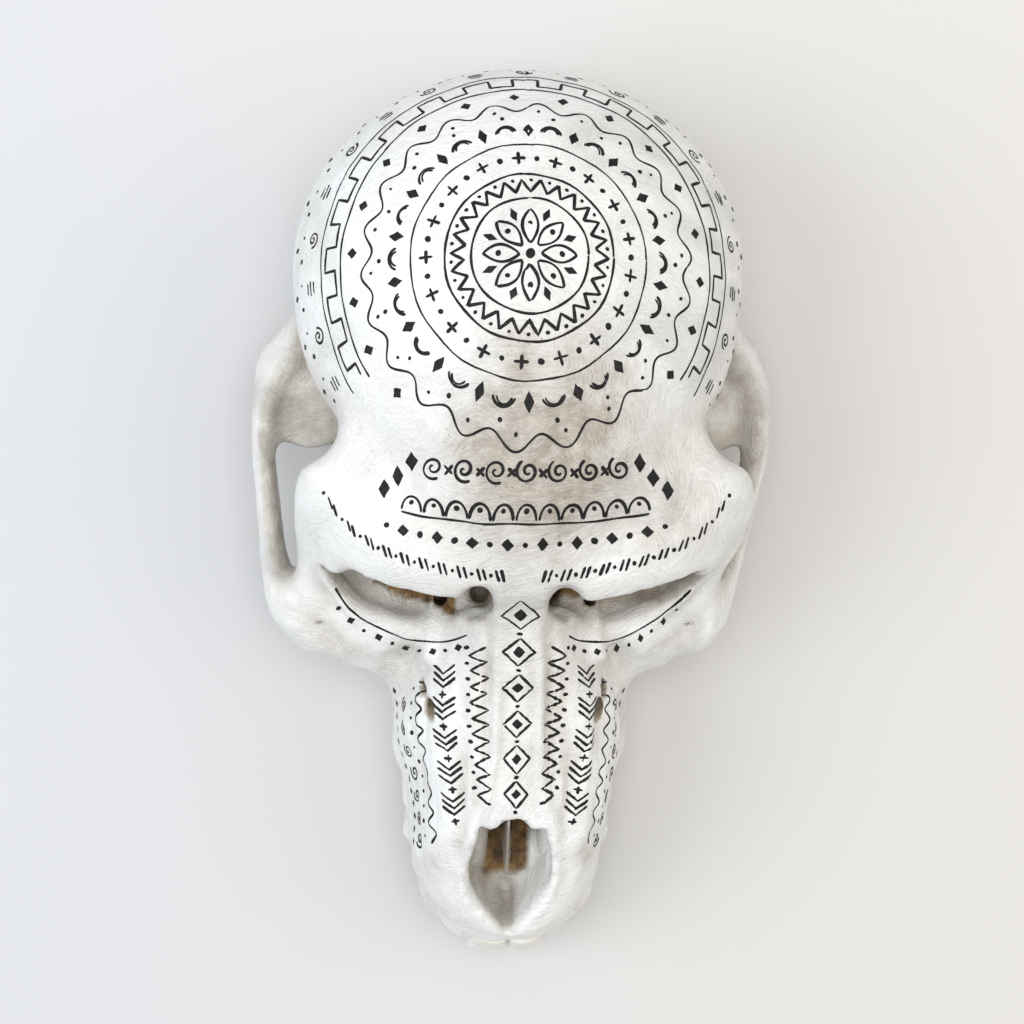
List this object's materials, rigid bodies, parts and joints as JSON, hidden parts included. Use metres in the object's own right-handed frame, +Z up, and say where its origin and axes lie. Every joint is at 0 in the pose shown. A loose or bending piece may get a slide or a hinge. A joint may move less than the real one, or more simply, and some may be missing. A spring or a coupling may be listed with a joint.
{
  "type": "baboon skull",
  "caption": "Life-size skull of a baboon without its lower jaw: rounded braincase, heavy brow, deep eye sockets, flared cheek arches and a long boxy muzzle with teeth, painted white.",
  "frame": {"origin": "centre of the bounding box in x and y, on the floor that the skull rests on", "axes": "+Z up, +Y to the back of the head, -Y to the incisors, +X to the skull's own left, which is the picture's right"},
  "size_m": [0.1078, 0.1874, 0.0771],
  "materials": {
    "painted_bone": "satin white paint over dry bone"
  },
  "bodies": {
    "root": {"braincase": "painted_bone", "face": "painted_bone", "muzzle": "painted_bone", "premaxilla": "painted_bone", "zygomatic_arch_left": "painted_bone", "zygomatic_arch_right": "painted_bone"}
  },
  "joints": []
}
